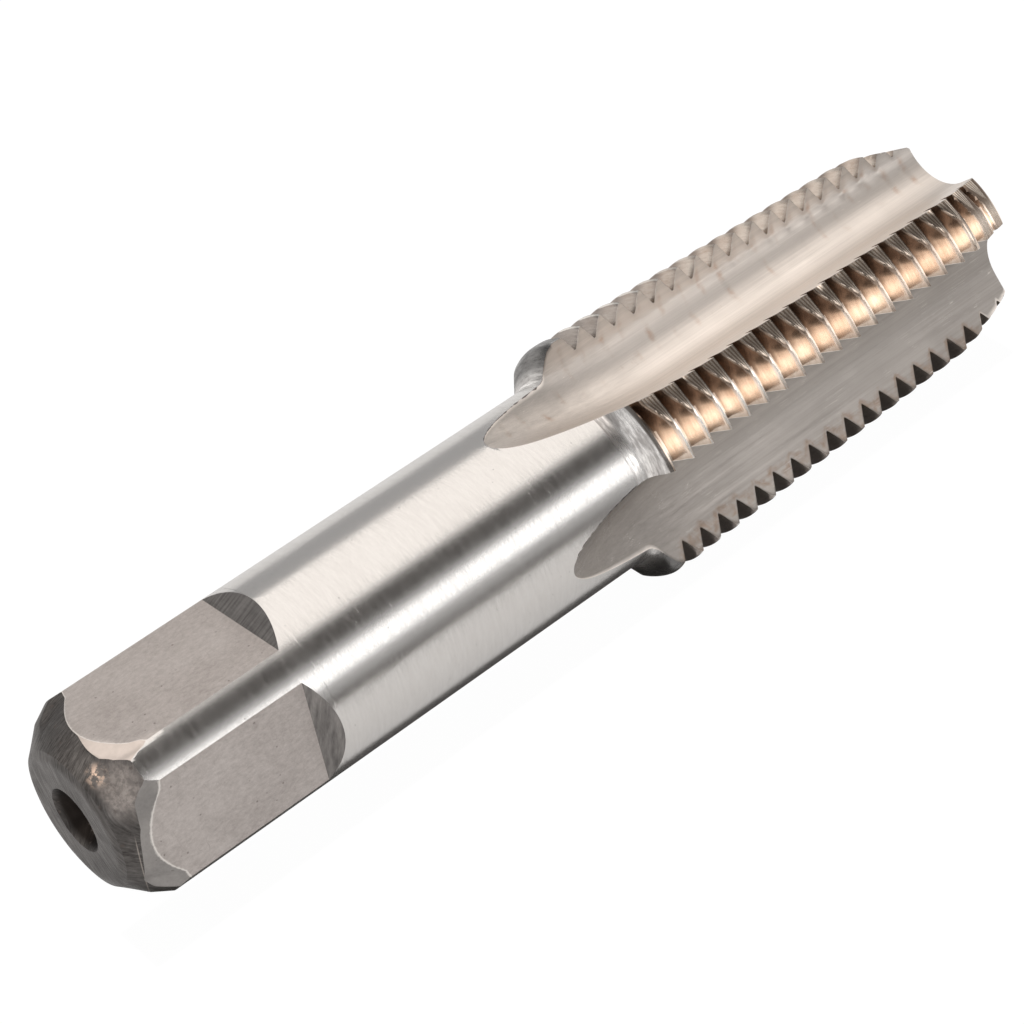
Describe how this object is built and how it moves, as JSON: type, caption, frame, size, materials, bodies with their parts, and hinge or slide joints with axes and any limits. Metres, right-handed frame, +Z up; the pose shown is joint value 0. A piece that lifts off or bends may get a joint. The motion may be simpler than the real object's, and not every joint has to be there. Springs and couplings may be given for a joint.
{
  "type": "taper pipe tap",
  "caption": "Hand tap for tapered pipe threads: toothed lands between straight flutes, round shank and square drive end.",
  "frame": {"origin": "middle of the bounding box's underside, on the plane the tap rests on, under the tap's axis", "axes": "+X along the tap's axis from the drive square to the cutting tip, +Z up, one flute facing straight down"},
  "size_m": [0.0612, 0.0126, 0.0125],
  "materials": {
    "tool_steel": "ground high speed steel, worn and lightly stained"
  },
  "bodies": {
    "root": {"thread_tap": "tool_steel"}
  },
  "joints": []
}
